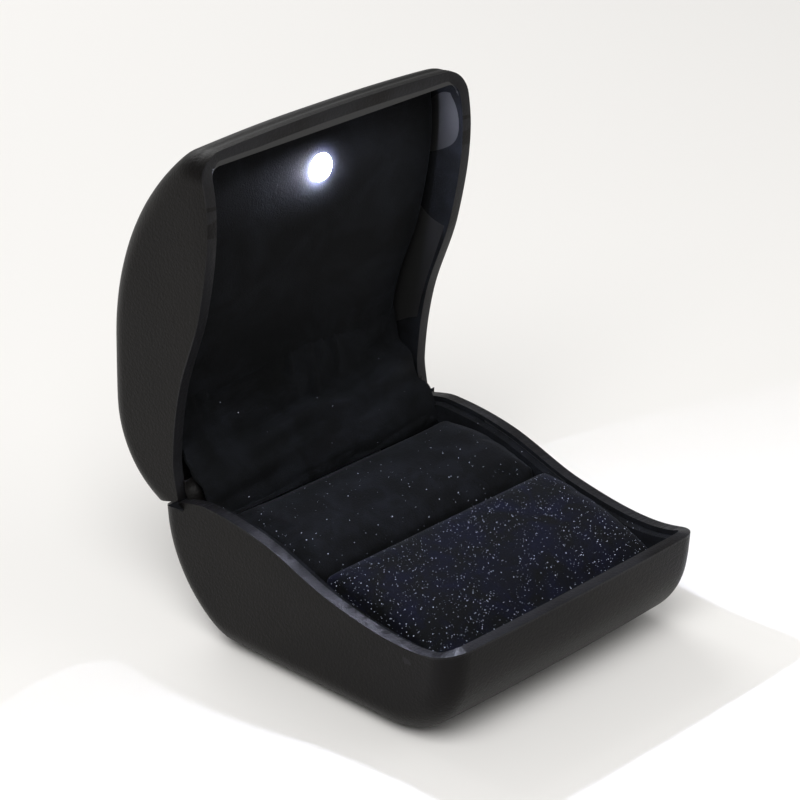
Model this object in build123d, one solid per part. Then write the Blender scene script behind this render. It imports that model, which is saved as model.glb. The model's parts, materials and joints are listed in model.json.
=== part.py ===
"""Lighted ring box: a leather-covered base and domed lid on a rear hinge.

Millimetres, +Z up, front of the box towards -Y, X across. The origin is the
middle of the bottom pad, on the surface that the box stands on. Pieces of the
lid are drawn shut and then swung back about the hinge pin to the stored open
position.
"""
import os
from math import cos, radians, sin

from build123d import *

# Overall sizes
box_width = 60.0
box_height = 44.0
opening_angle = 85.0

# Side outline of the shut box, as (y, z)
foot_rear = 17.0
foot_front = -24.0
front_belly = (-34.6, 5.4)
nose_low = (-39.3, 18.0)
nose_mid = (-39.8, 21.0)
nose_high = (-39.3, 24.5)
brow = (-24.0, box_height - 6.4)
crown_front = -2.0
crown_rear = 12.0
shoulder = (25.0, box_height - 5.4)
back_high = (29.6, box_height - 14.0)
back_low = (31.0, 22.0)
back_belly = (26.4, 8.0)

# Hinge line and the parting curve in front of it, as (y, z)
pivot_y = 25.0
pivot_z = 25.3
parting_points = [(-46.0, 21.2), (-30.0, 17.6), (-12.0, 19.7), (4.0, 24.8), (18.0, 26.5)]
rim_gap = 0.35
base_bevel_angle = -27.0
lid_bevel_angle = 66.0
bevel_clearance = 0.15

# Layers, from outside to inside
leather = 0.8
shell_wall = 1.2
velvet = 1.5
bottom_pad = 0.6
liner_drop = 1.0

# Rounding of the outside, enough to carry through to the inner layers
corner_round = leather + shell_wall + velvet - 0.5
side_round = corner_round + 1.2

# Ring rolls
slot_y = -5.4
slot_gap = 0.4
roll_side_gap = 0.5
rear_roll_back = 18.0
rear_roll_top = 22.0
rear_roll_crest = (6.0, 24.6)
slot_top = 20.6
front_roll_front = -34.4
front_roll_foot = -28.0
front_roll_top = 13.4
front_roll_crest = (-20.0, 19.0)
roll_edge = 2.0
floor_card = 1.0

# Hinge
pin_radius = 0.8
pin_clearance = 0.05
knuckle_wall = 0.65
knuckle_count = 5
knuckle_gap = 0.25
hinge_length = box_width * 0.6
leaf = 0.6
base_leaf_points = [(pivot_y, pivot_z), (26.5, 21.4), (26.1, 17.0)]
lid_leaf_points = [(pivot_y, pivot_z), (26.5, 30.2), (25.0, 34.6)]
rivet_radius = 0.7
rivet_head_radius = 1.3
rivet_head = 0.3
rivet_spacing = hinge_length * 2 / 3

# Folded fabric and leather at the hinge; the gusset's lid end is drawn shut
gusset = 0.8
gusset_width = box_width - 10.0
gusset_base_points = [(20.4, 22.8), (21.0, 28.0)]
gusset_lid_points = [(19.0, 26.8), (13.7, 30.3)]
spine = 0.35
spine_width = box_width - 7.0
spine_near = 4.0
spine_far = 6.2

# Lid panel
panel_recess = 6.0
panel_velvet = 0.8
panel_card = 1.2
panel_gap = 0.8
card_gap = 1.8
panel_rear = 21.5

# Lamp
lamp_y = -28.5
lens_radius = 2.4
lens_clearance = 0.1
lens_proud = 0.5
board_size = 9.0
board_corner = 1.0
board = 0.8
board_lift = 1.2
flange_radius = 2.9
resistor = (3.2, 1.6, 0.6)

# Battery
cell_radius = 10.0
cell_height = 3.2
cell_clearance = 0.2
cap_inset = 1.0
cap_step = 0.64
holder_wall = 1.2
holder_y = (crown_front + crown_rear) / 2
crown_fall_radius = 10.75
contact = 0.3
contact_width = 4.0
wire_radius = 0.45
wire_offset = 3.0
wire_gap = 0.3
wire_lead_out = (-3.5, -0.5)
wire_lead_in = (0.5, 3.0)
wire_bend_radius = 1.4

# Switch beside the hinge
switch_x = box_width / 2 - 8.0
switch_y = 22.4
switch_size = (5.0, 4.4, 4.0)
switch_base_z = 31.4
plunger_radius = 0.8
plunger_clearance = 0.05
plunger_travel = 1.2
striker_width = 3.4
striker_front = 21.3

# Reach of cutting shapes, well beyond the box, and halvings of a height search
FAR = 80.0
HALVINGS = 40


def yz_solid(outline, half_width):
    """Solid of constant YZ section, centred on the middle plane."""
    return extrude(make_face(Plane.YZ * outline), amount=half_width, both=True)


def side_outline():
    """Face of the shut box seen from its side, with rounded corners."""
    lines = Curve() + [
        Line((foot_rear, bottom_pad), (foot_front, bottom_pad)),
        ThreePointArc((foot_front, bottom_pad), front_belly, nose_low),
        ThreePointArc(nose_low, nose_mid, nose_high),
        ThreePointArc(nose_high, brow, (crown_front, box_height)),
        Line((crown_front, box_height), (crown_rear, box_height)),
        ThreePointArc((crown_rear, box_height), shoulder, back_high),
        Line(back_high, back_low),
        ThreePointArc(back_low, back_belly, (foot_rear, bottom_pad)),
    ]
    face = make_face(lines)
    return fillet(face.vertices(), corner_round)


def pillow(inset):
    """Whole shut box as a solid, each surface pulled in by inset."""
    face = side_outline()
    if inset:
        face = offset(face, -inset, kind=Kind.INTERSECTION)
    block = extrude(Plane.YZ * face, amount=box_width / 2 - inset, both=True)
    sides = block.faces().filter_by(Axis.X)
    return fillet(sides.edges(), side_round - inset)


def parting_curve(lift):
    """Wavy line where lid and base meet, from far in front to the hinge line."""
    points = [(y, z + lift) for y, z in parting_points]
    return Spline(*points, (pivot_y, pivot_z + lift))


def bevel_end(angle):
    """Point far out along a bevel that starts at the hinge line."""
    return (pivot_y + FAR * cos(radians(angle)), pivot_z + FAR * sin(radians(angle)))


def base_zone(drop):
    """Everything that belongs to the base, its top lowered by drop."""
    curve = parting_curve(-drop)
    low = -drop - bevel_clearance
    hinge_top = (pivot_y, pivot_z - drop)
    bevel_y, bevel_z = bevel_end(base_bevel_angle)
    front = curve @ 0
    outline = curve + Polyline(
        hinge_top, (pivot_y, pivot_z + low), (bevel_y, bevel_z + low),
        (bevel_y, -FAR), (front.X, -FAR), front,
    )
    return yz_solid(outline, box_width)


def lid_zone(lift):
    """Everything that belongs to the shut lid, its underside raised by lift."""
    curve = parting_curve(lift)
    high = lift + bevel_clearance
    hinge_top = (pivot_y, pivot_z + lift)
    bevel_y, bevel_z = bevel_end(lid_bevel_angle)
    front = curve @ 0
    outline = curve + Polyline(
        hinge_top, (pivot_y, pivot_z + high), (bevel_y, bevel_z + high),
        (bevel_y, FAR * 2), (front.X, FAR * 2), front,
    )
    return yz_solid(outline, box_width)


def swing(shape):
    """Turn a piece of the lid from shut to open about the hinge pin."""
    hinge = Axis((0, pivot_y, pivot_z), (1, 0, 0))
    return shape.rotate(hinge, -opening_angle)


def swing_point(point):
    """Turn a (y, z) point of the shut lid to the open position."""
    y, z = point[0] - pivot_y, point[1] - pivot_z
    angle = radians(opening_angle)
    return (pivot_y + y * cos(angle) + z * sin(angle), pivot_z - y * sin(angle) + z * cos(angle))


def cylinder_x(radius, x0, x1, y, z):
    """Cylinder along X."""
    return Plane((x0, y, z), x_dir=(0, 1, 0), z_dir=(1, 0, 0)) * extrude(Circle(radius), x1 - x0)


def cylinder_z(radius, z_span):
    """Cylinder along Z on the switch's axis."""
    low, high = z_span
    return Pos(switch_x, switch_y, low) * extrude(Circle(radius), high - low)


def block(x_span, y_span, z_span):
    """Box from its three spans."""
    size = [hi - lo for lo, hi in (x_span, y_span, z_span)]
    centre = [(lo + hi) / 2 for lo, hi in (x_span, y_span, z_span)]
    return Pos(*centre) * Box(*size)


def strip(points, thickness, half_width):
    """Bent sheet whose middle line runs through the points on the YZ plane."""
    path = Polyline(*points)
    return extrude(Plane.YZ * trace(path, thickness), amount=half_width, both=True)


# Base

def base_shell():
    """Moulded tray under the leather, open at the top."""
    tray = pillow(leather) & base_zone(leather)
    return tray - pillow(leather + shell_wall)


def base_leather_skin():
    """Leather on the outside of the base, turned over the rim."""
    outer = pillow(0) & base_zone(0)
    core = pillow(leather) & base_zone(leather)
    return outer - core - pillow(leather + shell_wall)


def base_liner():
    """Velvet on the inner wall and floor of the base."""
    inset = leather + shell_wall
    return (pillow(inset) & base_zone(liner_drop)) - pillow(inset + velvet)


def base_bottom_pad():
    """Flat felt-backed pad that the box stands on."""
    depth = foot_rear - foot_front
    width = box_width - 2 * side_round
    pad = Pos(0, (foot_rear + foot_front) / 2, bottom_pad / 2) * Box(width, depth, bottom_pad)
    return fillet(pad.edges().filter_by(Axis.Z), corner_round)


def floor_level():
    """Top of the card that the rolls stand on."""
    return bottom_pad + leather + shell_wall + velvet + floor_card


def base_floor_card():
    """Stiff card on the velvet floor, under the rolls."""
    inset = leather + shell_wall + velvet
    slab = block((-FAR, FAR), (front_roll_front, rear_roll_back), (0, floor_level()))
    return pillow(inset) & slab


def roll(outline):
    """Padded roll between the side walls, softened all round."""
    inset = leather + shell_wall + velvet + roll_side_gap
    face = make_face(outline)
    face = fillet(face.vertices(), roll_edge)
    body = extrude(Plane.YZ * face, amount=box_width / 2 - inset, both=True)
    return fillet(body.faces().filter_by(Axis.X).edges(), roll_edge / 2)


def rear_ring_roll():
    """Roll between the slot and the hinge."""
    front = slot_y + slot_gap / 2
    floor = floor_level()
    back_top = (rear_roll_back, rear_roll_top)
    front_top = (front, slot_top)
    sides = Polyline(back_top, (rear_roll_back, floor), (front, floor), front_top)
    return roll(sides + ThreePointArc(front_top, rear_roll_crest, back_top))


def front_ring_roll():
    """Roll between the slot and the front wall."""
    rear = slot_y - slot_gap / 2
    floor = floor_level()
    front_top = (front_roll_front, front_roll_top)
    rear_top = (rear, slot_top)
    sides = Polyline(rear_top, (rear, floor), (front_roll_foot, floor), front_top)
    return roll(sides + ThreePointArc(front_top, front_roll_crest, rear_top))


# Hinge

def knuckle_spans(parity):
    """X spans of every second knuckle along the pin."""
    pitch = hinge_length / knuckle_count
    starts = [-hinge_length / 2 + index * pitch for index in range(parity, knuckle_count, 2)]
    return [(start + knuckle_gap / 2, start + pitch - knuckle_gap / 2) for start in starts]


def hinge_leaf(parity, points):
    """Sheet leaf with rolled knuckles; the points start at the hinge line."""
    outer = pin_radius + pin_clearance + knuckle_wall
    plate = strip(points, leaf, hinge_length / 2)
    plate -= cylinder_x(outer + knuckle_gap, -FAR, FAR, pivot_y, pivot_z)
    leaf_body = plate
    for x0, x1 in knuckle_spans(parity):
        tongue = strip(points[:2], leaf, hinge_length / 2) & block((x0, x1), (-FAR, FAR), (-FAR, FAR))
        leaf_body += tongue + cylinder_x(outer, x0, x1, pivot_y, pivot_z)
    return leaf_body - cylinder_x(pin_radius + pin_clearance, -FAR, FAR, pivot_y, pivot_z)


def rivets(points, reach):
    """Pair of rivets square to the leaf's outer plate; one group of solids."""
    (y0, z0), (y1, z1) = points[1:]
    middle = Vector(0, (y0 + y1) / 2, (z0 + z1) / 2)
    along = Vector(0, y1 - y0, z1 - z0).normalized()
    outward = along.cross(Vector(1, 0, 0))
    if outward.Y < 0:
        outward = -outward
    group = []
    for x in (-rivet_spacing / 2, rivet_spacing / 2):
        seat = Plane(middle + Vector(x, 0, 0) - outward * (leaf / 2), x_dir=(1, 0, 0), z_dir=outward)
        shank = seat * extrude(Circle(rivet_radius), reach)
        head = seat * extrude(Circle(rivet_head_radius), -rivet_head)
        group.append(shank + head)
    return group


def base_rivets():
    """Rivets through the base leaf, liner and tray."""
    return rivets(base_leaf_points, leaf + velvet + shell_wall)


def lid_rivets():
    """Rivets through the lid leaf and dome."""
    return rivets(lid_leaf_points, leaf + shell_wall)


def hinge_base_leaf():
    """Fixed leaf, with the tab that works the switch."""
    body = hinge_leaf(0, base_leaf_points)
    x0 = switch_x - striker_width / 2
    x1 = switch_x + striker_width / 2
    y_top, z_top = base_leaf_points[1]
    top = pivot_z - knuckle_wall - leaf
    arm = block((x0, x1), (y_top - leaf / 2, y_top + leaf / 2), (z_top - striker_width, top))
    tab = block((x0, x1), (striker_front, y_top + leaf / 2), (top, top + leaf))
    foot = block((0, x1), (y_top - leaf, y_top), (z_top - striker_width, z_top - leaf))
    return body + arm + tab + foot


def hinge_pin():
    """Steel pin through all the knuckles."""
    half = hinge_length / 2
    return cylinder_x(pin_radius, -half, half, pivot_y, pivot_z)


def hinge_velvet_gusset():
    """Loose velvet from the rear roll over the hinge to the foot of the lid panel."""
    outline = Spline(*gusset_base_points, *[swing_point(point) for point in gusset_lid_points])
    return extrude(Plane.YZ * trace(outline, gusset), amount=gusset_width / 2, both=True)


def hinge_leather_spine():
    """Strip of cover leather folded between the two rear bevels."""
    shut_side = lid_bevel_angle - opening_angle
    angle = radians((shut_side + base_bevel_angle) / 2)
    ends = [(pivot_y + r * cos(angle), pivot_z + r * sin(angle)) for r in (spine_near, spine_far)]
    return strip(ends, spine, spine_width / 2)


# Lid, drawn shut

def lid_shell():
    """Moulded dome under the leather, open at the parting curve."""
    dome = pillow(leather) & lid_zone(rim_gap + leather)
    return dome - pillow(leather + shell_wall)


def lid_leather_skin():
    """Leather on the outside of the dome, turned over the rim."""
    outer = pillow(0) & lid_zone(rim_gap)
    core = pillow(leather) & lid_zone(rim_gap + leather)
    return outer - core - pillow(leather + shell_wall)


def panel_layer(lift, thickness):
    """Wavy sheet inside the dome, parallel to the parting curve."""
    low = parting_curve(lift)
    high = parting_curve(lift + thickness)
    ends = Line(low @ 1, high @ 1) + Line(high @ 0, low @ 0)
    sheet = yz_solid(low + high + ends, box_width)
    sheet &= block((-FAR, FAR), (-FAR, panel_rear), (-FAR, FAR))
    return sheet & pillow(leather + shell_wall + panel_gap)


def card_layer(thickness):
    """Layer just behind the panel's velvet."""
    return panel_layer(panel_recess + panel_velvet, thickness)


def card_zone():
    """Room that the card fills inside the velvet's turned edges."""
    wall = leather + shell_wall + card_gap
    half = box_width / 2 - wall
    return block((-half, half), (nose_mid[0] + wall, FAR), (-FAR, FAR))


def curve_height(y, lift):
    """Height of the parting curve, raised by lift, at a given y."""
    curve = parting_curve(lift)
    low, high = 0.0, 1.0
    for _ in range(HALVINGS):
        middle = (low + high) / 2
        if (curve @ middle).X < y:
            low = middle
        else:
            high = middle
    return (curve @ low).Y


def lamp_seat(lift):
    """Plane square to the panel's face at the lamp, lift above that face."""
    step = 0.5
    z = curve_height(lamp_y, panel_recess)
    rise = curve_height(lamp_y + step, panel_recess) - z
    up = Vector(0, -rise, step).normalized()
    return Plane(Vector(0, lamp_y, z) + up * lift, x_dir=(1, 0, 0), z_dir=up)


def board_level():
    """Height of the circuit board's underside above the panel's face."""
    return panel_velvet + panel_card + board_lift


def lamp_hole():
    """Clearance hole for the lens, and for its flange behind the panel."""
    bore = extrude(Circle(lens_radius + lens_clearance), board_level())
    return lamp_seat(-2 * lens_proud) * bore


def plunger_hole():
    """Clearance for the switch and plunger past the panel's rear corner."""
    width, depth, _ = switch_size
    x_span = (switch_x - width / 2 - panel_gap, switch_x + width / 2 + panel_gap)
    y_span = (switch_y - depth / 2 - panel_gap, FAR)
    return block(x_span, y_span, (0, FAR))


def lid_panel():
    """Velvet face of the panel inside the lid, turned over the card's edges."""
    pad = panel_layer(panel_recess, panel_velvet + panel_card)
    return pad - (card_layer(panel_card * 2) & card_zone()) - lamp_hole() - plunger_hole()


def lid_panel_card():
    """Stiff card behind the velvet face."""
    return (card_layer(panel_card) & card_zone()) - lamp_hole() - plunger_hole()


def led_lens():
    """Flat-topped lamp lens, standing a little proud of the velvet."""
    flange = board_level() - panel_velvet - panel_card
    barrel = lamp_seat(-lens_proud) * extrude(Circle(lens_radius), lens_proud + board_level())
    rim_seat = lamp_seat(panel_velvet + panel_card + flange / 2)
    return barrel + rim_seat * extrude(Circle(flange_radius), flange / 2)


def led_board():
    """Small circuit board that carries the lamp."""
    board_outline = RectangleRounded(board_size, board_size, board_corner)
    return lamp_seat(board_level()) * extrude(board_outline, board)


def led_resistor():
    """Chip resistor on the back of the board."""
    length, width, height = resistor
    seat = lamp_seat(board_level() + board)
    return seat * Pos(0, width, 0) * extrude(Rectangle(length, width), height)


def holder_radius():
    """Outer radius of the battery cup."""
    return cell_radius + cell_clearance + holder_wall


def ceiling():
    """Top of the battery cup, low enough to clear the dome where it falls away."""
    overhang = holder_radius() - (crown_rear - crown_front) / 2
    fall = overhang ** 2 / (2 * crown_fall_radius)
    return box_height - leather - shell_wall - fall


def holder_height():
    """Depth of the battery cup, cell and floor together."""
    return cell_height + cell_clearance + holder_wall


def battery_holder():
    """Round plastic cup under the crown, open downwards."""
    base = Plane((0, holder_y, ceiling() - holder_height()))
    cup = base * extrude(Circle(holder_radius()), holder_height())
    pocket = base * extrude(Circle(cell_radius + cell_clearance), cell_height + cell_clearance)
    return cup - pocket


def coin_cell():
    """Coin cell: can and smaller cap."""
    bottom = Plane((0, holder_y, ceiling() - holder_height() + cell_clearance))
    cap = bottom * extrude(Circle(cell_radius - cap_inset), cell_height)
    can = bottom.offset(cap_step) * extrude(Circle(cell_radius), cell_height - cap_step)
    return cap + can


def battery_contact():
    """Spring strip across the mouth of the cup."""
    outer = holder_radius()
    top = ceiling() - holder_height()
    y_span = (holder_y - contact_width / 2, holder_y + contact_width / 2)
    return block((-outer, outer), y_span, (top - contact, top))


def wire(side):
    """Insulated lead from the battery cup to the lamp board."""
    x = side * wire_offset
    start_y = holder_y - holder_radius() - wire_gap
    start = Vector(x, start_y, ceiling() - holder_height() / 2)
    seat = lamp_seat(board_level() + board)
    end = seat.origin + seat.z_dir * wire_radius + Vector(x, board_size / 4, 0)
    forward, rise = wire_lead_in
    bend_a = start + Vector(0, *wire_lead_out)
    bend_b = end + seat.z_dir * rise + Vector(0, forward, 0)
    path = FilletPolyline(start, bend_a, bend_b, end, radius=wire_bend_radius)
    section = Plane(origin=path @ 0, z_dir=path % 0) * Circle(wire_radius)
    return sweep(section, path=path)


def switch_body():
    """Body of the push switch beside the hinge."""
    width, depth, height = switch_size
    z_span = (switch_base_z, switch_base_z + height)
    case = block((switch_x - width / 2, switch_x + width / 2),
                 (switch_y - depth / 2, switch_y + depth / 2), z_span)
    return case - cylinder_z(plunger_radius + plunger_clearance, (0, FAR))


def striker_level():
    """Top of the tab on the fixed leaf."""
    return pivot_z - knuckle_wall


def switch_plunger():
    """Switch plunger at its outer position, tip towards the striker."""
    tip = striker_level() + rim_gap
    top = switch_base_z + switch_size[2] / 2
    return cylinder_z(plunger_radius, (tip - plunger_travel, top - plunger_travel))


def write(name, shape):
    """Write one node; a list becomes a group of separate solids."""
    items = shape if isinstance(shape, list) else [shape]
    solids = [solid for item in items for solid in item.solids()]
    node = solids[0] if len(solids) == 1 else Compound(children=solids)
    node.label = name
    export_step(node, f"parts/{name}.step")


def fixed_nodes():
    """Nodes of the base."""
    shell = base_shell()
    liner = base_liner()
    leaf_body = hinge_base_leaf()
    for rivet in base_rivets():
        shell -= rivet
        liner -= rivet
        leaf_body -= rivet
    return {
        "base_shell": shell,
        "base_leather_skin": base_leather_skin(),
        "base_liner": liner,
        "base_bottom_pad": base_bottom_pad(),
        "base_floor_card": base_floor_card(),
        "rear_ring_roll": rear_ring_roll(),
        "front_ring_roll": front_ring_roll(),
        "hinge_base_leaf": leaf_body,
        "hinge_base_rivets": base_rivets(),
        "hinge_pin": hinge_pin(),
        "hinge_velvet_gusset": hinge_velvet_gusset(),
        "hinge_leather_spine": hinge_leather_spine(),
    }


def lid_nodes():
    """Nodes that turn with the lid, drawn shut."""
    dome = lid_shell()
    leaf_body = hinge_leaf(1, lid_leaf_points)
    for rivet in lid_rivets():
        dome -= rivet
        leaf_body -= rivet
    return {
        "lid_shell": dome,
        "lid_leather_skin": lid_leather_skin(),
        "lid_panel": lid_panel(),
        "lid_panel_card": lid_panel_card(),
        "led_lens": led_lens(),
        "led_board": led_board(),
        "led_resistor": led_resistor(),
        "battery_holder": battery_holder(),
        "battery_contact": battery_contact(),
        "coin_cell": coin_cell(),
        "led_wire_left": wire(-1),
        "led_wire_right": wire(1),
        "hinge_lid_leaf": leaf_body,
        "hinge_lid_rivets": lid_rivets(),
        "switch_body": switch_body(),
        "switch_plunger": switch_plunger(),
    }


os.makedirs("parts", exist_ok=True)
for node_name, node_shape in fixed_nodes().items():
    write(node_name, node_shape)
for node_name, node_shape in lid_nodes().items():
    pieces = node_shape if isinstance(node_shape, list) else [node_shape]
    write(node_name, [swing(piece) for piece in pieces])
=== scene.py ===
"""Lighted ring box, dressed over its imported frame.

Laid out as an add-on and run as a script. Lengths are metres in the frame of
the part: +Z up, front towards -Y. Pieces of the lid are shaped shut and swung
back about the hinge line, as the lid is stored open.
"""
import json
import math

import bpy
from mathutils import Matrix, Vector, noise


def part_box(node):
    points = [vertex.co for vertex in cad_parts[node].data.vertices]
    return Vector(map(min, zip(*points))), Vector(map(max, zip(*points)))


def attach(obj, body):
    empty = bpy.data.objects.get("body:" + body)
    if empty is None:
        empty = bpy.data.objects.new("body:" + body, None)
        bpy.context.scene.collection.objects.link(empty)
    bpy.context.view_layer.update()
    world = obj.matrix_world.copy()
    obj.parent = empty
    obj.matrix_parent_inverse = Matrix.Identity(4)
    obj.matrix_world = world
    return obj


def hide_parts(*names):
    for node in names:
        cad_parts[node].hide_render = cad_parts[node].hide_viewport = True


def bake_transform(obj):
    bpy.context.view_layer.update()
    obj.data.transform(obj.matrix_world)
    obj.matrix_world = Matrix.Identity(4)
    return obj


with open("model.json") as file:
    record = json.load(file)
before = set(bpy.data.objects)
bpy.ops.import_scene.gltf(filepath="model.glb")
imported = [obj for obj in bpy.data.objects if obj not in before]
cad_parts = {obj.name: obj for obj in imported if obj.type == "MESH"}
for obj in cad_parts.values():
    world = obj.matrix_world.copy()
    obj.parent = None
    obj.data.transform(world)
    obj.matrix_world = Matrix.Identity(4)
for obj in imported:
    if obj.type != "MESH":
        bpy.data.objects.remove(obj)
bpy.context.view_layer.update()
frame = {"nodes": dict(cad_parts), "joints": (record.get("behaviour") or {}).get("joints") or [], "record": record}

bl_info = {
    "name": "Lighted ring box",
    "version": (1, 0, 0),
    "blender": (4, 5, 0),
    "location": "3D View > Sidebar > Ring box",
    "description": "Leather covers, velvet rolls and lamp of a ring box, over its packed frame",
    "category": "Object",
}

MM = 0.001
HINGE = next(joint for joint in frame["joints"] if joint["name"] == "lid_hinge")
PIVOT = Vector(HINGE["pos_m"])
SWING = math.radians(HINGE["range_deg"][1])
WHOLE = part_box("base_leather_skin")
HALF_WIDTH = WHOLE[1][0]


def linear(code):
    """Linear RGB of an sRGB hex value."""
    channels = [int(code[i:i + 2], 16) / 255 for i in (1, 3, 5)]
    return tuple(c / 12.92 if c <= 0.04045 else ((c + 0.055) / 1.055) ** 2.4 for c in channels)


def length_property(name, description, millimetres):
    """Length in metres, given in millimetres."""
    return bpy.props.FloatProperty(
        name=name, description=description, default=millimetres * MM, unit="LENGTH")


def colour_property(name, description, code):
    """Colour given as an sRGB hex value."""
    return bpy.props.FloatVectorProperty(
        name=name, description=description, default=linear(code), subtype="COLOR", size=3)


class RingBoxSizes(bpy.types.PropertyGroup):
    """Sizes of the covers, rolls and lamp."""

    leather_wall: length_property("Cover wall", "Leather and tray together at the rim", 2.0)
    rim_round: length_property("Rim rounding", "How softly the leather turns over the rim", 0.75)
    side_round: length_property("Side rounding", "Rounding between the sides and the rest", 4.4)
    crown: length_property("Crown", "How far the wide faces bulge in the middle", 0.9)
    rim_gap: length_property("Rim gap", "Gap between the rims when shut", 0.35)
    liner_drop: length_property("Liner drop", "Velvet lip below the leather rim", 1.0)
    velvet: length_property("Velvet", "Thickness of the velvet liner", 1.5)
    recess: length_property("Panel recess", "Lid panel behind the rim", 6.0)
    panel_gap: length_property("Panel gap", "Dark gap round the lid panel", 0.9)
    lens_radius: length_property("Lens radius", "Radius of the lamp's lens", 2.4)


class RingBoxColours(bpy.types.PropertyGroup):
    """Colours of the leather, velvet and lamp."""

    leather: colour_property("Leather", "Dyed black polyurethane leather", "#060505")
    # The next two tones lighten random patches and the rims; along the rims they are partly wear and partly a
    # painted highlight.
    leather_wear_and_highlight: colour_property("Leather, rubbed", "Lighter tone where the grain is rubbed", "#0d0b0a")
    leather_rim_wear_and_highlight: colour_property("Leather, rim", "Grain polished along the rims", "#1b1b1d")
    velvet: colour_property("Velvet", "Pile seen end on", "#020304")
    velvet_nap: colour_property("Velvet nap", "Pile brushed over, seen from its side", "#0f1115")
    # Painted lamp light: a blue tint that stands in for the lamp's light on the front roll's pile.
    velvet_painted_lamp_light: colour_property("Velvet under the lamp", "Blue-black pile of the front roll", "#05071a")
    # Bright flecks: light lint in the pile, and also a painted glint, as they glow faintly.
    fleck_and_glint_colour: colour_property("Sparkle", "Loose bright fibres and glitter in the pile", "#dfe6ff")
    lamp: colour_property("Lamp light", "Cold white light", "#dfe4ff")
    halo: colour_property("Halo", "Violet glow of the pile round the lamp", "#4a4f9e")
    floor: colour_property("Floor", "Pale studio floor", "#efedea")


def sizes():
    """The sizes in use."""
    return bpy.context.scene.ring_box_sizes


def colours():
    """The colours in use."""
    return bpy.context.scene.ring_box_colours


# Outlines on the YZ plane, in millimetres, as the frame has them

PARTING = [(-46.0, 21.2), (-30.0, 17.6), (-12.0, 19.7), (4.0, 24.8), (18.0, 26.5)]
BASE_BEVEL = math.radians(-27.0)
LID_BEVEL = math.radians(66.0)
BASE_ARCS = [((-39.5, 24.0), (-39.4, 19.4), (-38.9, 14.8)), ((-38.9, 14.8), (-34.6, 5.4), (-24.0, 0.6)),
             ((-24.0, 0.6), (-4.0, 0.6), (17.0, 0.6)), ((17.0, 0.6), (26.4, 8.0), (31.0, 24.0))]
LID_ARCS = [((-39.3, 14.0), (-39.85, 20.5), (-39.0, 25.0)), ((-39.0, 25.0), (-24.0, 37.6), (-2.0, 44.0)),
            ((-2.0, 44.0), (5.0, 44.0), (12.0, 44.0)), ((12.0, 44.0), (25.0, 38.6), (30.1, 27.0))]


def arc_points(start, via, end, count):
    """Points along the arc through three points, or along the line if they are in line."""
    (ax, ay), (bx, by), (cx, cy) = start, via, end
    turn = 2 * (ax * (by - cy) + bx * (cy - ay) + cx * (ay - by))
    if abs(turn) < 1e-6:
        return [(ax + (cx - ax) * i / count, ay + (cy - ay) * i / count) for i in range(count + 1)]
    a2, b2, c2 = ax * ax + ay * ay, bx * bx + by * by, cx * cx + cy * cy
    ux = (a2 * (by - cy) + b2 * (cy - ay) + c2 * (ay - by)) / turn
    uy = (a2 * (cx - bx) + b2 * (ax - cx) + c2 * (bx - ax)) / turn
    radius = math.hypot(ax - ux, ay - uy)
    first = math.atan2(ay - uy, ax - ux)
    sweep = math.atan2(cy - uy, cx - ux) - first
    middle = math.atan2(by - uy, bx - ux) - first
    if sweep > 0 and not 0 < middle % math.tau < sweep:
        sweep -= math.tau
    if sweep < 0 and not sweep < -((-middle) % math.tau) < 0:
        sweep += math.tau
    angles = [first + sweep * i / count for i in range(count + 1)]
    return [(ux + radius * math.cos(t), uy + radius * math.sin(t)) for t in angles]


ARC_STEPS = 40
OUTLINE_STEPS = 240
TRIM_STEPS = 400


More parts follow.
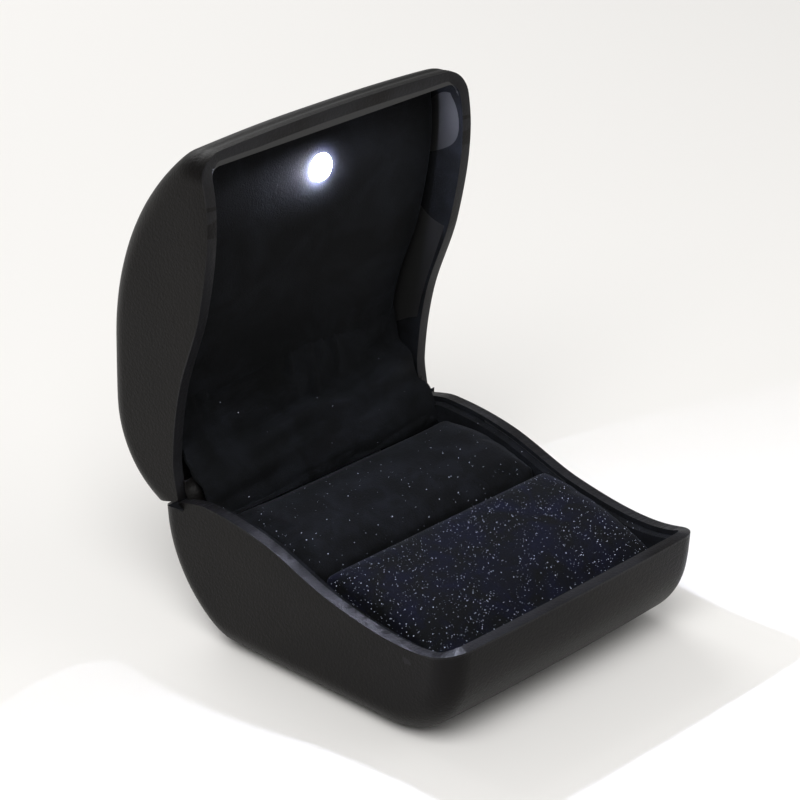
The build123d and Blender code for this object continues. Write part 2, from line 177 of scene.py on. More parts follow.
class Outline:
    """Smoothed line through arcs, walked by its share of length."""

    def __init__(self, arcs, soften=0.5, side=1):
        self.side = side
        self.trims = {}
        raw = []
        for start, via, end in arcs:
            raw += arc_points(start, via, end, ARC_STEPS)[0 if not raw else 1:]
        self.points = [Vector(p) for p in raw]
        self.measure()
        step = self.length / OUTLINE_STEPS
        even = [self.at(i / OUTLINE_STEPS) for i in range(OUTLINE_STEPS + 1)]
        reach = max(1, round(soften / step))
        self.points = []
        for i in range(OUTLINE_STEPS + 1):
            r = min(reach, i, OUTLINE_STEPS - i)
            near = even[i - r:i + r + 1]
            self.points.append(sum(near, Vector((0, 0))) / len(near))
        self.measure()

    def measure(self):
        """Lengths along the line at each of its points."""
        self.marks = [0.0]
        for a, b in zip(self.points, self.points[1:]):
            self.marks.append(self.marks[-1] + (b - a).length)
        self.length = self.marks[-1]

    def at(self, share):
        """Point at a share of the length."""
        target = min(max(share, 0), 1) * self.length
        low = 0
        high = len(self.marks) - 1
        while high - low > 1:
            middle = (low + high) // 2
            if self.marks[middle] <= target:
                low = middle
            else:
                high = middle
        span = self.marks[high] - self.marks[low]
        return self.points[low].lerp(self.points[high], (target - self.marks[low]) / max(span, 1e-9))

    def inward(self, share):
        """Unit normal that points into the box."""
        along = self.at(min(share + 0.004, 1)) - self.at(max(share - 0.004, 0))
        return Vector((-along.y, along.x)).normalized() * self.side

    def trimmed(self, inset, edge):
        """Points and normals of the line pulled in by inset, from one crossing of the edge to the other."""
        key = round(inset, 3)
        if key not in self.trims:
            shares = [i / TRIM_STEPS for i in range(TRIM_STEPS + 1)]
            pulled = [(self.at(s) + self.inward(s) * inset, self.inward(s)) for s in shares]
            gaps = [(edge(point.x) - point.y) * self.side for point, _ in pulled]
            first = next(i for i in range(len(gaps)) if gaps[i] > 0)
            last = max(i for i in range(len(gaps)) if gaps[i] > 0)
            kept = pulled[first:last + 1]
            for end, at, gap in ((0, first - 1, first), (-1, last + 1, last)):
                if 0 <= at < len(pulled):
                    share = gaps[gap] / (gaps[gap] - gaps[at])
                    crossing = pulled[gap][0].lerp(pulled[at][0], share)
                    kept.insert(0 if end == 0 else len(kept), (crossing, pulled[gap][1]))
            marks = [0.0]
            for (a, _), (b, _) in zip(kept, kept[1:]):
                marks.append(marks[-1] + (b - a).length)
            self.trims[key] = kept, marks
        return self.trims[key]

    def walk(self, inset, edge, warp):
        """Point, normal and distance from the nearer end, where warp gives the distance along."""
        kept, marks = self.trimmed(inset, edge)
        target = min(max(warp(marks[-1]), 0), marks[-1])
        i = max(0, min(len(marks) - 2, next((k for k, m in enumerate(marks) if m > target), len(marks)) - 1))
        t = (target - marks[i]) / max(marks[i + 1] - marks[i], 1e-9)
        point = kept[i][0].lerp(kept[i + 1][0], t)
        normal = kept[i][1].lerp(kept[i + 1][1], t).normalized()
        return point, normal, min(target, marks[-1] - target)


def spline_height(knots, y):
    """Height of the smooth curve through the knots at y, by cubic segments."""
    slopes = []
    for i in range(len(knots)):
        a = knots[max(i - 1, 0)]
        b = knots[min(i + 1, len(knots) - 1)]
        slopes.append((b[1] - a[1]) / (b[0] - a[0]))
    for i in range(len(knots) - 1):
        (y0, z0), (y1, z1) = knots[i], knots[i + 1]
        if y <= y1 or i == len(knots) - 2:
            h = y1 - y0
            t = min(max((y - y0) / h, 0), 1)
            return ((2 * t ** 3 - 3 * t ** 2 + 1) * z0 + (t ** 3 - 2 * t ** 2 + t) * h * slopes[i]
                    + (3 * t ** 2 - 2 * t ** 3) * z1 + (t ** 3 - t ** 2) * h * slopes[i + 1])
    return knots[-1][1]


PIVOT_MM = (PIVOT.y / MM, PIVOT.z / MM)


def parting_height(y):
    """Height of the wavy parting line at y, in millimetres."""
    return spline_height(PARTING + [PIVOT_MM], min(y, PIVOT_MM[0]))


def rim_height(y, bevel):
    """Parting line in front of the hinge, and the bevel behind it."""
    if y <= PIVOT_MM[0]:
        return parting_height(y)
    return PIVOT_MM[1] + (y - PIVOT_MM[0]) * math.tan(bevel)


# Making and finishing meshes

def deselect():
    """Leave edit mode and select nothing."""
    if bpy.context.object and bpy.context.object.mode != "OBJECT":
        bpy.ops.object.mode_set(mode="OBJECT")
    bpy.ops.object.select_all(action="DESELECT")


def only(obj):
    """Make obj the one selected, active object."""
    deselect()
    obj.select_set(True)
    bpy.context.view_layer.objects.active = obj


def grid(name, columns, rows, place):
    """A grid pulled to shape: place turns each point's two shares into its place."""
    deselect()
    bpy.ops.mesh.primitive_grid_add(x_subdivisions=columns, y_subdivisions=rows, size=1)
    obj = bpy.context.object
    obj.name = obj.data.name = name
    for vertex in obj.data.vertices:
        vertex.co = place(vertex.co.x + 0.5, vertex.co.y + 0.5)
    return obj


def edit(obj, *steps):
    """Run edit-mode steps on the whole mesh."""
    only(obj)
    bpy.ops.object.mode_set(mode="EDIT")
    bpy.ops.mesh.select_all(action="SELECT")
    for step in steps:
        step()
    bpy.ops.object.mode_set(mode="OBJECT")


def weld(obj, gap=0.02 * MM):
    """Merge coinciding points and turn the faces outwards."""
    edit(obj, lambda: bpy.ops.mesh.remove_doubles(threshold=gap),
         lambda: bpy.ops.mesh.normals_make_consistent(inside=False))


def apply(obj, kind, **settings):
    """Add a modifier with its settings and apply it."""
    only(obj)
    modifier = obj.modifiers.new(kind.title(), kind)
    for key, value in settings.items():
        setattr(modifier, key, value)
    bpy.ops.object.modifier_apply(modifier=modifier.name)


def smooth(obj, degrees=40):
    """Smooth shading, kept sharp past an angle."""
    only(obj)
    bpy.ops.object.shade_smooth_by_angle(angle=math.radians(degrees))


def swing_open(obj):
    """Turn a piece shaped shut to the open place."""
    turn = Matrix.Translation(PIVOT) @ Matrix.Rotation(-SWING, 4, "X") @ Matrix.Translation(-PIVOT)
    obj.data.transform(turn)


def finish_piece(obj, material, body, slot, *nodes):
    """Material, body and the frame nodes that the piece stands for; slot is not used."""
    if not obj.data.materials:
        obj.data.materials.append(material)
    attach(obj, body)
    if nodes:
        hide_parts(*nodes)


# Materials

def node(tree, kind, settings=None, **links):
    """Add a node with its settings, and link or set its inputs by name."""
    made = tree.nodes.new(kind)
    for key, value in (settings or {}).items():
        setattr(made, key, value)
    for name, value in links.items():
        key = name.replace("_", " ")
        socket = made.inputs[int(key[1:])] if key[0] == "i" and key[1:].isdigit() else made.inputs[key]
        if isinstance(value, bpy.types.NodeSocket):
            tree.links.new(value, socket)
        else:
            socket.default_value = value
    return made


def ramp(tree, factor, stops):
    """Colour ramp with its stops as (position, colour)."""
    made = node(tree, "ShaderNodeValToRGB", Fac=factor)
    elements = made.color_ramp.elements
    while len(elements) < len(stops):
        elements.new(0.5)
    for element, (position, colour) in zip(elements, stops):
        element.position = position
        element.color = (*colour[:3], 1)
    return made


def fresh(name):
    """New node material and its shader, output and object coordinates."""
    material = bpy.data.materials.get(name)
    if material:
        return material, None, None, None
    material = bpy.data.materials.new(name)
    material.use_nodes = True
    tree = material.node_tree
    shader = tree.nodes["Principled BSDF"]
    place = node(tree, "ShaderNodeTexCoord").outputs["Object"]
    return material, tree, shader, place


def per_metre(millimetres):
    """Pattern scale that gives features of this size."""
    return 1 / (millimetres * MM)


def grey(value):
    """Neutral tone."""
    return (value, value, value)


def pu_leather():
    """PU leather, embossed: fine pebble grain, satin film, lighter along the rims, partly wear and partly a
    painted highlight.
    """
    material, tree, shader, place = fresh("pu_leather_black_embossed")
    if tree is None:
        return material
    drift = node(tree, "ShaderNodeTexNoise", Vector=place, Scale=per_metre(3), Detail=2.0)
    bent = node(tree, "ShaderNodeVectorMath", {"operation": "MULTIPLY_ADD"},
                i0=drift.outputs["Color"], i1=(0.3 * MM,) * 3, i2=place)
    pebble = node(tree, "ShaderNodeTexVoronoi", {"feature": "SMOOTH_F1"},
                  Vector=bent.outputs[0], Scale=per_metre(0.55), Smoothness=0.35)
    fine = node(tree, "ShaderNodeTexNoise", Vector=place, Scale=per_metre(0.22), Detail=3.0, Roughness=0.6)
    height = node(tree, "ShaderNodeMath", {"operation": "MULTIPLY_ADD"},
                  i0=pebble.outputs["Distance"], i1=-0.8, i2=fine.outputs["Fac"])
    bump = node(tree, "ShaderNodeBump", Height=height.outputs[0], Strength=0.7, Distance=0.05 * MM)
    patches = node(tree, "ShaderNodeTexNoise", Vector=place, Scale=per_metre(14), Detail=4.0)
    bend = node(tree, "ShaderNodeNewGeometry").outputs["Pointiness"]
    # Sharp bends of the surface lighten the colour: wear along the rims, and also a painted rim highlight.
    rubbed_and_highlit = node(tree, "ShaderNodeMapRange", Value=bend, i1=0.51, i2=0.56, i3=0.0, i4=0.5)
    wear_and_highlight_mix = node(tree, "ShaderNodeMath", {"operation": "ADD"}, i0=patches.outputs["Fac"], i1=rubbed_and_highlit.outputs[0])
    tone = ramp(tree, wear_and_highlight_mix.outputs[0], [(0.3, colours().leather), (0.8, colours().leather_wear_and_highlight),
                                        (1.0, colours().leather_rim_wear_and_highlight)])
    grip = node(tree, "ShaderNodeMath", {"operation": "MULTIPLY_ADD"},
                i0=rubbed_and_highlit.outputs[0], i1=-0.25, i2=fine.outputs["Fac"])
    film = node(tree, "ShaderNodeMapRange", Value=grip.outputs[0], i3=0.3, i4=0.56)
    tree.links.new(tone.outputs["Color"], shader.inputs["Base Color"])
    tree.links.new(film.outputs[0], shader.inputs["Roughness"])
    tree.links.new(bump.outputs["Normal"], shader.inputs["Normal"])
    shader.inputs["Specular IOR Level"].default_value = 0.12
    return material


def velvet(name, glitter, nap_scale, halo=None, painted_lamp_tint=False):
    """Velvet, short rayon pile: near black end on, pale at grazing angles, brushed in patches.

    glitter is the share of bright flecks, which also glow faintly as a painted glint; halo is the middle of the
    lamp's violet glow in the pile; lit tints the brushed patches blue with painted lamp light, for the front roll
    under the lamp.
    """
    material, tree, shader, place = fresh(name)
    if tree is None:
        return material
    brushed = node(tree, "ShaderNodeTexNoise", Vector=place, Scale=per_metre(nap_scale), Detail=5.0,
                   Roughness=0.62, Distortion=0.6)
    # Painted lamp light: on the front roll the brushed patches take a blue tint in place of the lamp's light.
    brushed_tone = colours().velvet_painted_lamp_light if painted_lamp_tint else colours().velvet_nap
    nap = ramp(tree, brushed.outputs["Fac"], [(0.42, colours().velvet), (0.72, brushed_tone)])
    pile = node(tree, "ShaderNodeTexNoise", Vector=place, Scale=per_metre(0.3), Detail=3.0, Roughness=0.7)
    tufts = node(tree, "ShaderNodeMix", {"data_type": "RGBA", "blend_type": "MULTIPLY"},
                 i0=0.7, i6=nap.outputs["Color"])
    shade = ramp(tree, pile.outputs["Fac"], [(0.3, grey(0.45)), (0.7, grey(1.5))])
    tree.links.new(shade.outputs["Color"], tufts.inputs[7])
    flecks = node(tree, "ShaderNodeTexVoronoi", Vector=place, Scale=per_metre(0.24), Randomness=1.0)
    chance = node(tree, "ShaderNodeSeparateColor", i0=flecks.outputs["Color"])
    picked = node(tree, "ShaderNodeMath", {"operation": "GREATER_THAN"},
                  i0=chance.outputs[0], i1=1 - glitter)
    small = node(tree, "ShaderNodeMath", {"operation": "LESS_THAN"},
                 i0=flecks.outputs["Distance"], i1=0.27)
    fleck = node(tree, "ShaderNodeMath", {"operation": "MULTIPLY"}, i0=picked.outputs[0], i1=small.outputs[0])
    strength = node(tree, "ShaderNodeMath", {"operation": "POWER"}, i0=chance.outputs[1], i1=8.0)
    fleck_and_painted_glint = node(tree, "ShaderNodeMath", {"operation": "MULTIPLY"},
                 i0=fleck.outputs[0], i1=strength.outputs[0])
    coat = node(tree, "ShaderNodeMix", {"data_type": "RGBA"}, i0=fleck_and_painted_glint.outputs[0], i6=tufts.outputs[2],
                i7=(*colours().fleck_and_glint_colour, 1))
    bump = node(tree, "ShaderNodeBump", Height=pile.outputs["Fac"], Strength=0.6, Distance=0.15 * MM)
    tree.links.new(coat.outputs[2], shader.inputs["Base Color"])
    tree.links.new(bump.outputs["Normal"], shader.inputs["Normal"])
    # Painted glint: the flecks glow, standing in for lamp light caught by the fibres.
    tree.links.new(fleck_and_painted_glint.outputs[0], shader.inputs["Emission Strength"])
    shader.inputs["Emission Color"].default_value = (*colours().fleck_and_glint_colour, 1)
    if halo:
        away = node(tree, "ShaderNodeVectorMath", {"operation": "DISTANCE"}, i0=place, i1=halo)
        glow = node(tree, "ShaderNodeMapRange", {"interpolation_type": "SMOOTHERSTEP"},
                    Value=away.outputs["Value"], i1=1.6 * MM, i2=5.0 * MM, i3=0.22, i4=0.0)
        tree.links.new(glow.outputs[0], shader.inputs["Emission Strength"])
        shader.inputs["Emission Color"].default_value = (*colours().halo, 1)
    shader.inputs["Roughness"].default_value = 0.95
    shader.inputs["Specular IOR Level"].default_value = 0.15
    shader.inputs["Sheen Weight"].default_value = 0.08
    shader.inputs["Sheen Roughness"].default_value = 0.35
    shader.inputs["Sheen Tint"].default_value = (*linear("#8b93a0"), 1)
    return material


def plain(name, code, roughness, metallic=0.0, grain=0.4, depth=0.02):
    """Moulded, pressed or drawn stock: one tone with a faint surface grain."""
    material, tree, shader, place = fresh(name)
    if tree is None:
        return material
    speck = node(tree, "ShaderNodeTexNoise", Vector=place, Scale=per_metre(grain), Detail=3.0)
    tone = linear(code)
    darker, lighter = [c * 0.8 for c in tone], [c * 1.2 for c in tone]
    shade = ramp(tree, speck.outputs["Fac"], [(0.25, darker), (0.75, lighter)])
    bump = node(tree, "ShaderNodeBump", Height=speck.outputs["Fac"], Strength=0.4, Distance=depth * MM)
    tree.links.new(shade.outputs["Color"], shader.inputs["Base Color"])
    tree.links.new(bump.outputs["Normal"], shader.inputs["Normal"])
    shader.inputs["Roughness"].default_value = roughness
    shader.inputs["Metallic"].default_value = metallic
    return material


LAMP_STRENGTH = 1800.0


def lamp_material():
    """Lit epoxy lens: even cold white."""
    material, tree, shader, _ = fresh("lit_epoxy_lens")
    if tree is None:
        return material
    shader.inputs["Base Color"].default_value = (*linear("#f4f6ff"), 1)
    shader.inputs["Emission Color"].default_value = (*colours().lamp, 1)
    shader.inputs["Emission Strength"].default_value = LAMP_STRENGTH
    return material


# Covers

RIM_BAND = 4.0
CORNER_RUN = 5.0
RIM_ROWS = 0.11
COVER_COLUMNS, COVER_ROWS = 100, 150
SIDE_SHARE, BEND_SHARE = 0.24, 0.12
CREASE_AT, CREASE_WIDTH = 2.3, 0.7
RIPPLE_SCALE, RIPPLE_DEPTH = 60, 0.1


def rim_warp(share):
    """Distance along a wall: close rows near both rims, even ones between."""
    def warp(length):
        band = min(RIM_BAND, length * RIM_ROWS)
        if share < RIM_ROWS:
            return share / RIM_ROWS * band
        if share > 1 - RIM_ROWS:
            return length - (1 - share) / RIM_ROWS * band
        return band + (share - RIM_ROWS) / (1 - 2 * RIM_ROWS) * (length - 2 * band)
    return warp


def cover_place(outline, edge, inset, crown, crease):
    """Place on a cover: u goes from left rim to right rim, v from front rim to back rim.

    edge gives the rim's height at a depth. crease is the depth of the fold
    line just outside the front rim.
    """
    half = HALF_WIDTH / MM - inset
    rounding = sizes().side_round / MM - inset
    side, bend = SIDE_SHARE, BEND_SHARE

    def place(u, v):
        q = min(u, 1 - u)
        turn = math.pi / 2 if q <= side else max(0.0, 1 - (q - side) / bend) * math.pi / 2
        pull = rounding * (1 - math.cos(turn))
        spot, inward, from_end = outline.walk(inset + pull, edge, rim_warp(v))
        x = half - rounding * (1 - math.sin(turn))
        from_rim = from_end
        if q <= side:
            kept = outline.trimmed(inset + rounding, edge)[0]
            first, last = kept[0][0].x, kept[-1][0].x
            rim_y = first + CORNER_RUN + v * (min(last, PIVOT_MM[0]) - first - CORNER_RUN)
            share = (q / side) ** 1.6
            drop = (edge(spot.x) - spot.y) * share
            y = rim_y + (spot.x - rim_y) * share
            spot = Vector((y, edge(y) - drop))
            from_rim = min(from_end, abs(drop))
        elif q > side + bend:
            x *= 1 - (q - side - bend) / (0.5 - side - bend)
        bulge = crown * max(0.0, 1 - (x / half) ** 2)
        if spot.x < 0:
            fold = math.exp(-((from_rim - CREASE_AT) / CREASE_WIDTH) ** 2)
            bulge -= crease * fold * min(1.0, (half - abs(x)) / 5)
        spot = spot - inward * bulge
        sign = -1 if u < 0.5 else 1
        point = Vector((sign * x * MM, spot.x * MM, spot.y * MM))
        ripple = noise.noise_vector(point * RIPPLE_SCALE) * RIPPLE_DEPTH * MM
        return point + ripple * min(1.0, from_rim / 3)

    return place


def cover(name, arcs, side, edge, thickness, inset=0.0, crown=0.0, crease=0.0, rounding=None):
    """Bent sheet for one half of the box, given its wall, a velvet inside and a rounded rim."""
    outline = Outline(arcs, 2.5, side)
    obj = grid(name, COVER_COLUMNS, COVER_ROWS, cover_place(outline, edge, inset, crown, crease))
    weld(obj)
    outside = pu_leather() if inset == 0 else velvet("velvet_liner_short_pile", 0.02, 6)
    obj.data.materials.append(outside)
    obj.data.materials.append(velvet("velvet_liner_short_pile", 0.02, 6))
    apply(obj, "SOLIDIFY", thickness=thickness, offset=-1, use_even_offset=False, material_offset=1)
    apply(obj, "BEVEL", width=rounding, segments=4, limit_method="ANGLE",
          angle_limit=math.radians(55))
    smooth(obj, 50)
    return obj


def base_edge(drop):
    """Rim of the base, lowered by drop."""
    return lambda y: rim_height(y, BASE_BEVEL) - drop


def lid_edge(lift):
    """Rim of the shut lid, raised by lift."""
    return lambda y: rim_height(y, LID_BEVEL) + lift


class RINGBOX_OT_covers(bpy.types.Operator):
    """Leather covers of the base and the lid, turned over their rims"""

    bl_idname = "ringbox.covers"
    bl_label = "Leather covers"

    def execute(self, context):
        size = sizes()
        base = cover("base_cover", BASE_ARCS, 1, base_edge(0), size.leather_wall,
                     crown=size.crown / MM * 0.5, rounding=size.rim_round)
        finish_piece(base, pu_leather(), "base", "leather", "base_leather_skin")
        lid = cover("lid_cover", LID_ARCS, -1, lid_edge(size.rim_gap / MM), size.leather_wall,
                    crown=size.crown / MM, crease=0.18, rounding=size.rim_round)
        swing_open(lid)
        finish_piece(lid, pu_leather(), "lid", "leather", "lid_leather_skin")
        return {"FINISHED"}


class RINGBOX_OT_liner(bpy.types.Operator):
    """Velvet liner inside the base wall"""

    bl_idname = "ringbox.liner"
    bl_label = "Base liner"

    def execute(self, context):
        size = sizes()
        inset = size.leather_wall / MM
        liner = cover("base_velvet_liner", BASE_ARCS, 1, base_edge(size.liner_drop / MM), size.velvet,
                      inset=inset, rounding=size.velvet * 0.4)
        finish_piece(liner, None, "base", "velvet", "base_liner")
        return {"FINISHED"}


# Soft pieces

SIM_SCALE = 20.0


def run_cloth(obj, frames, cap, **settings):
    """Let obj move as cloth at a larger scale, and keep each point within cap of its start."""
    start = [vertex.co.copy() for vertex in obj.data.vertices]
    obj.data.transform(Matrix.Scale(SIM_SCALE, 4))
    only(obj)
    modifier = obj.modifiers.new("Cloth", "CLOTH")
    cloth = modifier.settings
    cloth.quality = 6
    cloth.effector_weights.gravity = settings.pop("gravity", 0.0)
    for key, value in settings.items():
        setattr(cloth, key, value)
    modifier.collision_settings.use_collision = False
    modifier.point_cache.frame_start = 1
    modifier.point_cache.frame_end = frames
    for frame_number in range(1, frames + 1):
        bpy.context.scene.frame_set(frame_number)
    bpy.ops.object.modifier_apply(modifier=modifier.name)
    bpy.context.scene.frame_set(1)
    obj.data.transform(Matrix.Scale(1 / SIM_SCALE, 4))
    for vertex, origin in zip(obj.data.vertices, start):
        move = vertex.co - origin
        if move.length > cap:
            vertex.co = origin + move * (cap / move.length)


ROLL_END = 0.9
ROLL_OVERHANG = 0.45
END_SHARE = 0.12
ROLLS = {
    "rear_ring_roll": ((-5.3, 20.6), (7.0, 24.6), (18.6, 23.4), (18.6, 5.1), (-5.3, 5.1)),
    "front_ring_roll": ((-34.2, 13.6), (-20.5, 19.6), (-5.5, 21.6), (-5.5, 5.1), (-28.4, 5.1)),
}


def roll_mesh(name, half, corners):
    """Closed roll with a rounded top, softened corners and rounded ends."""
    first, crest, last, last_foot, first_foot = corners
    section = Outline([(first, crest, last), (last, mid(last, last_foot), last_foot),
                       (last_foot, mid(last_foot, first_foot), first_foot),
                       (first_foot, mid(first_foot, first), first)], 2.2)
    centre = Vector((sum(c[0] for c in corners) / 5, 13.0))

    def place(u, v):
        point = section.at(v)
        if u < END_SHARE or u > 1 - END_SHARE:
            angle = (1 - min(u, 1 - u) / END_SHARE) * math.pi / 2
            point = point + (centre - point).normalized() * (ROLL_END * (1 - math.cos(angle)))
            x = (half - ROLL_END + ROLL_END * math.sin(angle)) * (1 if u > 0.5 else -1)
        else:
            x = (u - 0.5) / (0.5 - END_SHARE) * (half - ROLL_END)
        return Vector((x * MM, point.x * MM, point.y * MM))

    obj = grid(name, 70, 120, place)
    edit(obj, lambda: bpy.ops.mesh.remove_doubles(threshold=0.02 * MM))
    close_holes(obj)
    return obj


def mid(a, b):
    """Point half way between two points."""
    return ((a[0] + b[0]) / 2, (a[1] + b[1]) / 2)


def close_holes(obj):
    """Fill the open ends and turn the faces outwards."""
    def open_ends():
        bpy.ops.mesh.select_all(action="DESELECT")
        bpy.ops.mesh.select_non_manifold()
        bpy.ops.mesh.edge_face_add()
        bpy.ops.mesh.select_all(action="SELECT")
        bpy.ops.mesh.normals_make_consistent(inside=False)
    edit(obj, open_ends)


class RINGBOX_OT_rolls(bpy.types.Operator):
    """Padded velvet rolls that hold the rings in the slot between them"""

    bl_idname = "ringbox.rolls"
    bl_label = "Ring rolls"

    def execute(self, context):
        # Many more flecks on the front roll: painted glints where the lamp shines.
        glitter = {"rear_ring_roll": 0.05, "front_ring_roll": 0.4}
        for node_name, corners in ROLLS.items():
            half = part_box(node_name)[1][0] / MM
            obj = roll_mesh(node_name.replace("ring", "velvet"), half + ROLL_OVERHANG, corners)
            apply(obj, "REMESH", mode="VOXEL", voxel_size=0.9 * MM)
            run_cloth(obj, 20, 0.6 * MM, use_pressure=True, uniform_pressure_force=4.0)
            apply(obj, "SMOOTH", factor=0.5, iterations=3)
            apply(obj, "SUBSURF", levels=1, render_levels=1)
            smooth(obj, 80)
            # The front roll's pile gets painted lamp light: a blue tint and more glinting flecks.
            pile = velvet("velvet_roll_" + node_name[:5], glitter[node_name], 5,
                          painted_lamp_tint=node_name == "front_ring_roll")
            finish_piece(obj, pile, "base", "velvet", node_name)
        return {"FINISHED"}


def rounded(x, y, half_x, low_y, high_y, radius):
    """Pull a point of a rectangle into the same rectangle with round corners."""
    cx = half_x - radius
    dx = abs(x) - cx
    dy = max(low_y + radius - y, y - (high_y - radius))
    if dx <= 0 or dy <= 0:
        return x, y
    reach = max(dx, dy)
    length = math.hypot(dx, dy)
    nx, ny = dx / length * reach, dy / length * reach
    side = 1 if x > 0 else -1
    base_y = low_y + radius - ny if y < (low_y + high_y) / 2 else high_y - radius + ny
    return side * (cx + nx), base_y


PANEL_SPAN = (-36.6, 21.4)


class RINGBOX_OT_lid_panel(bpy.types.Operator):
    """Wavy velvet panel inside the lid"""

    bl_idname = "ringbox.lid_panel"
    bl_label = "Lid panel"

    def execute(self, context):
        size = sizes()
        half = HALF_WIDTH / MM - size.leather_wall / MM - size.panel_gap / MM
        front, rear = PANEL_SPAN
        recess = size.recess / MM

        def place(u, v):
            x, y = rounded((u - 0.5) * 2 * half, front + (rear - front) * v, half, front, rear, 3.2)
            edge = min(half - abs(x), y - front)
            roll = 0.9 * max(0.0, 1 - edge / 1.6) ** 2
            return Vector((x * MM, y * MM, (parting_height(y) + recess + roll) * MM))

        obj = grid("lid_velvet_panel", 90, 100, place)
        edit(obj, lambda: bpy.ops.mesh.extrude_region_move(
            TRANSFORM_OT_translate={"value": (0, 0, 1.6 * MM)}))
        weld(obj, 0.001 * MM)
        smooth(obj, 60)
        swing_open(obj)
        low, high = (Vector(corner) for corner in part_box("led_lens"))
        face = Vector((0, low.y, (low.z + high.z) / 2))
        finish_piece(obj, velvet("velvet_panel", 0.0, 11, halo=face), "lid", "velvet", "lid_panel")
        return {"FINISHED"}


GUSSET_LINE = [((20.0, 21.6), (20.2, 25.4), (23.0, 29.2)), ((23.0, 29.2), (28.0, 35.6), (31.6, 45.6))]
GUSSET_HALF = 27.0
SPINE_HALF = 26.5
SPINE_LINE = [((30.4, 22.6), (28.6, 23.4), (27.4, 24.3)), ((27.4, 24.3), (29.5, 23.9), (32.6, 23.1))]
CORNER_LINE = [((22.6, 23.6), (23.8, 26.6), (25.4, 28.6))]


def gusset_place(line):
    """Place on the loose velvet: long low folds that lean across, and none at its held edges."""
    def place(u, v):
        point = line.at(v)
        inward = line.inward(v)
        x = (u - 0.5) * 2 * GUSSET_HALF
        lean = v * 25 - x * 0.12
        broad = noise.noise((x * 0.035, lean * 0.26, 3.0)) * 2.6
        small = noise.noise((x * 0.1, lean * 0.42, 8.0)) * 1.1
        fold = broad + small
        point = point + inward * fold * max(0.0, math.sin(math.pi * v)) ** 0.8
        return Vector((x * MM, point.x * MM, point.y * MM))
    return place


class RINGBOX_OT_hinge_folds(bpy.types.Operator):
    """Loose velvet over the hinge, leather corner folds and the leather fold at the back"""

    bl_idname = "ringbox.hinge_folds"
    bl_label = "Hinge folds"

    def execute(self, context):
        self.velvet_gusset()
        self.spine()
        for name, side in (("left", -1), ("right", 1)):
            self.corner(name, side)
        return {"FINISHED"}

    def velvet_gusset(self):
        """Loose velvet from the rear roll over the hinge to the foot of the lid panel."""
        obj = grid("hinge_velvet", 110, 60, gusset_place(Outline(GUSSET_LINE, 2.0)))
        pins = obj.vertex_groups.new(name="pins")
        held = [vertex.index for vertex in obj.data.vertices
                if vertex.co.z < 22.4 * MM or vertex.co.z > 43.6 * MM]
        pins.add(held, 1.0, "REPLACE")
        run_cloth(obj, 16, 0.7 * MM, gravity=0.3, vertex_group_mass="pins", shrink_min=-0.05)
        obj.vertex_groups.clear()
        apply(obj, "SMOOTH", factor=0.5, iterations=2)
        apply(obj, "SOLIDIFY", thickness=0.6 * MM, offset=0)
        smooth(obj, 70)
        finish_piece(obj, velvet("velvet_gusset", 0.003, 9), "base", "velvet", "hinge_velvet_gusset")
        obj.parent = None
        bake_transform(obj)

    def corner(self, name, side):
        """Cover leather tucked in between the rims beside the hinge."""
        line = Outline(CORNER_LINE, 0.5)

        def place(u, v):
            point = line.at(v)
            tuck = math.sin(v * math.pi)
            point = point - line.inward(v) * tuck * (1.4 * u * u + 0.12 * math.sin(v * 9))
            x = 26.2 + u * 2.2
            return Vector((side * x * MM, point.x * MM, point.y * MM))

        obj = grid("hinge_corner_" + name, 20, 40, place)
        apply(obj, "SOLIDIFY", thickness=0.6 * MM, offset=0)
        apply(obj, "SUBSURF", levels=1, render_levels=1)
        weld(obj, 0.001 * MM)
        smooth(obj, 70)
        finish_piece(obj, pu_leather(), "base", "leather")
        obj.parent = None
        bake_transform(obj)

    def spine(self):
        """Leather folded into the gap between the two rear bevels."""
        fold = Outline(SPINE_LINE, 0.5)

        def place(u, v):
            point = fold.at(v)
            return Vector(((u - 0.5) * 2 * SPINE_HALF * MM, point.x * MM, point.y * MM))

        obj = grid("hinge_leather_fold", 60, 24, place)
        apply(obj, "SOLIDIFY", thickness=0.3 * MM, offset=0)
        smooth(obj, 60)
        finish_piece(obj, pu_leather(), "base", "leather", "hinge_leather_spine")
        obj.parent = None
        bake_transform(obj)


class RINGBOX_OT_lamp(bpy.types.Operator):
    """Lit lens of the lamp, near the front of the lid panel"""

    bl_idname = "ringbox.lamp"
    bl_label = "Lamp lens"

    def execute(self, context):
        low, high = (Vector(corner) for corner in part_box("led_lens"))
        radius = sizes().lens_radius
        deselect()
        bpy.ops.mesh.primitive_cylinder_add(vertices=64, radius=radius, depth=3.4 * MM)
        obj = bpy.context.object
        obj.name = obj.data.name = "led_lit_lens"
        apply(obj, "BEVEL", width=0.5 * MM, segments=5, limit_method="ANGLE")
        smooth(obj, 40)
        facing = Vector((0, -1, 0.02)).normalized()
        turn = Vector((0, 0, 1)).rotation_difference(facing).to_matrix().to_4x4()
        middle = (low + high) / 2
        centre = Vector((0, low.y + 2.05 * MM, middle.z))
        obj.data.transform(Matrix.Translation(centre) @ turn)
        finish_piece(obj, lamp_material(), "lid", "lamp_lens", "led_lens")
        return {"FINISHED"}


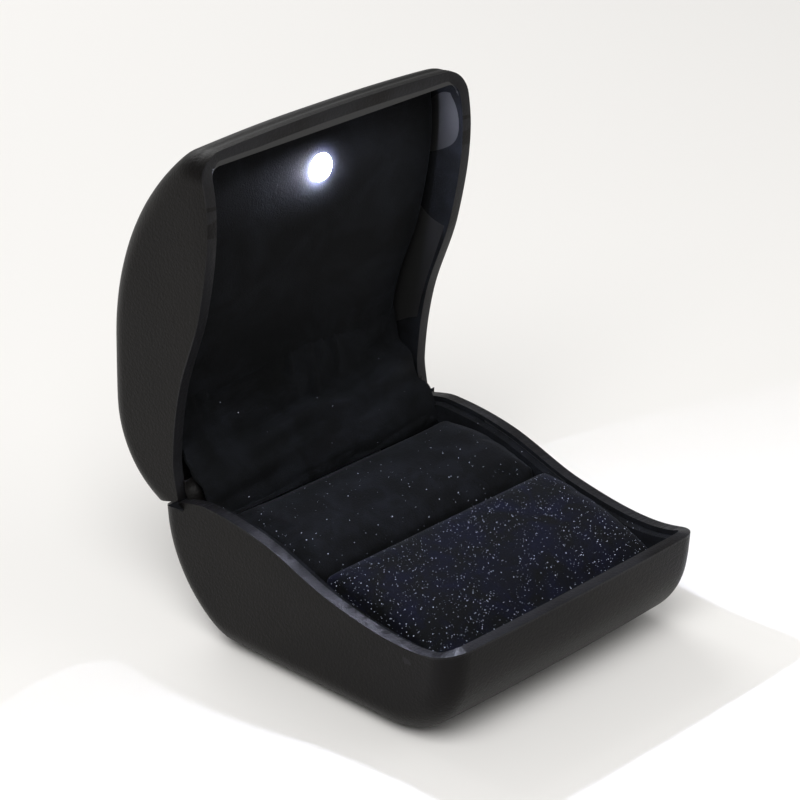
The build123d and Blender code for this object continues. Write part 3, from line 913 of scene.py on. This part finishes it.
class RINGBOX_OT_hardware(bpy.types.Operator):
    """Materials of the moulded, pressed and metal pieces under the covers"""

    bl_idname = "ringbox.hardware"
    bl_label = "Inner pieces"

    def execute(self, context):
        finishes = {
            "moulded_plastic": plain("abs_moulded_black", "#191919", 0.5),
            "card": plain("grey_board_pressed", "#8d7f6b", 0.85),
            "pad_felt": plain("felt_needled_black", "#131313", 0.95, grain=0.5, depth=0.2),
            "hinge_steel": plain("steel_nickel_plated", "#b8b6b0", 0.3, metallic=1.0),
            "circuit_board": plain("glass_epoxy_board", "#1d4f2b", 0.4),
            "resistor_body": plain("ceramic_chip", "#1b1b1d", 0.45),
            "cell_steel": plain("steel_cell_can", "#c3c3c4", 0.25, metallic=1.0),
            "contact_metal": plain("phosphor_bronze_strip", "#b98f58", 0.3, metallic=1.0),
            "wire_red": plain("pvc_insulation_red", "#8e1717", 0.5),
            "wire_black": plain("pvc_insulation_black", "#141414", 0.5),
            "plunger_plastic": plain("acetal_turned", "#161617", 0.35),
        }
        slots = {part["node"]: part["material_slot"] for part in frame["record"]["subparts"]}
        for name, obj in frame["nodes"].items():
            material = finishes.get(slots[name])
            if material:
                obj.data.materials.clear()
                obj.data.materials.append(material)
        return {"FINISHED"}


# Name, place, side and power of each area light
LIGHTS = (("key", (-0.45, -0.35, 0.75), 0.6, 7), ("fill", (0.55, -0.6, 0.4), 0.7, 1.6),
          ("back", (0.2, 0.7, 0.6), 0.6, 3.5))
CAMERA_AT = (-0.3064, -0.31913, 0.24587)
CAMERA_ANGLES = (-43.70, 24.78, -2.02)
CAMERA_LENS = 130.8


class RINGBOX_OT_stage(bpy.types.Operator):
    """Pale floor, soft light and the camera"""

    bl_idname = "ringbox.stage"
    bl_label = "Stage"

    def execute(self, context):
        deselect()
        bpy.ops.mesh.primitive_plane_add(size=6)
        floor = context.object
        floor.name = "floor"
        material = bpy.data.materials.new("matte_studio_floor")
        material.use_nodes = True
        shader = material.node_tree.nodes["Principled BSDF"]
        shader.inputs["Base Color"].default_value = (*colours().floor, 1)
        shader.inputs["Roughness"].default_value = 0.9
        floor.data.materials.append(material)
        for name, place, side, watts in LIGHTS:
            light = bpy.data.lights.new(name, "AREA")
            light.size = side
            light.energy = watts
            lamp = bpy.data.objects.new(name, light)
            lamp.location = place
            lamp.rotation_euler = (Vector((0, 0, 0.04)) - Vector(place)).to_track_quat("-Z", "Y").to_euler()
            context.scene.collection.objects.link(lamp)
        world = bpy.data.worlds.new("studio")
        world.use_nodes = True
        world.node_tree.nodes["Background"].inputs["Color"].default_value = (1, 1, 1, 1)
        world.node_tree.nodes["Background"].inputs["Strength"].default_value = 0.3
        context.scene.world = world
        context.scene.view_settings.view_transform = "Standard"
        self.camera(context)
        return {"FINISHED"}

    def camera(self, context):
        """Long lens, high front left view with a slight tilt."""
        azimuth, elevation, tilt = (math.radians(angle) for angle in CAMERA_ANGLES)
        back = Vector((math.sin(azimuth) * math.cos(elevation), -math.cos(azimuth) * math.cos(elevation),
                       math.sin(elevation)))
        right = Vector((math.cos(azimuth), math.sin(azimuth), 0))
        up = back.cross(right)
        across = right * math.cos(tilt) + up * math.sin(tilt)
        above = up * math.cos(tilt) - right * math.sin(tilt)
        data = bpy.data.cameras.new("camera")
        data.lens = CAMERA_LENS
        data.sensor_width = 36
        data.clip_start = 0.01
        camera = bpy.data.objects.new("camera", data)
        turn = Matrix((across, above, back)).transposed().to_4x4()
        camera.matrix_world = Matrix.Translation(CAMERA_AT) @ turn
        context.scene.collection.objects.link(camera)
        context.scene.camera = camera


OPERATORS = (RINGBOX_OT_covers, RINGBOX_OT_liner, RINGBOX_OT_rolls, RINGBOX_OT_lid_panel,
             RINGBOX_OT_hinge_folds, RINGBOX_OT_lamp, RINGBOX_OT_hardware, RINGBOX_OT_stage)


class RINGBOX_PT_sidebar(bpy.types.Panel):
    """Buttons for each group of pieces"""

    bl_idname = "RINGBOX_PT_sidebar"
    bl_label = "Ring box"
    bl_space_type = "VIEW_3D"
    bl_region_type = "UI"
    bl_category = "Ring box"

    def draw(self, context):
        for operator in OPERATORS:
            self.layout.operator(operator.bl_idname)


CLASSES = (RingBoxSizes, RingBoxColours, *OPERATORS, RINGBOX_PT_sidebar)


def register():
    """Register the classes and hang the settings on the scene."""
    for cls in CLASSES:
        bpy.utils.register_class(cls)
    bpy.types.Scene.ring_box_sizes = bpy.props.PointerProperty(type=RingBoxSizes)
    bpy.types.Scene.ring_box_colours = bpy.props.PointerProperty(type=RingBoxColours)


def unregister():
    """Take the settings and classes away again."""
    del bpy.types.Scene.ring_box_colours
    del bpy.types.Scene.ring_box_sizes
    for cls in reversed(CLASSES):
        bpy.utils.unregister_class(cls)


def main():
    """Build every piece in order."""
    register()
    for operator in OPERATORS:
        group, name = operator.bl_idname.split(".")
        getattr(getattr(bpy.ops, group), name)()


if __name__ == "__main__":
    main()
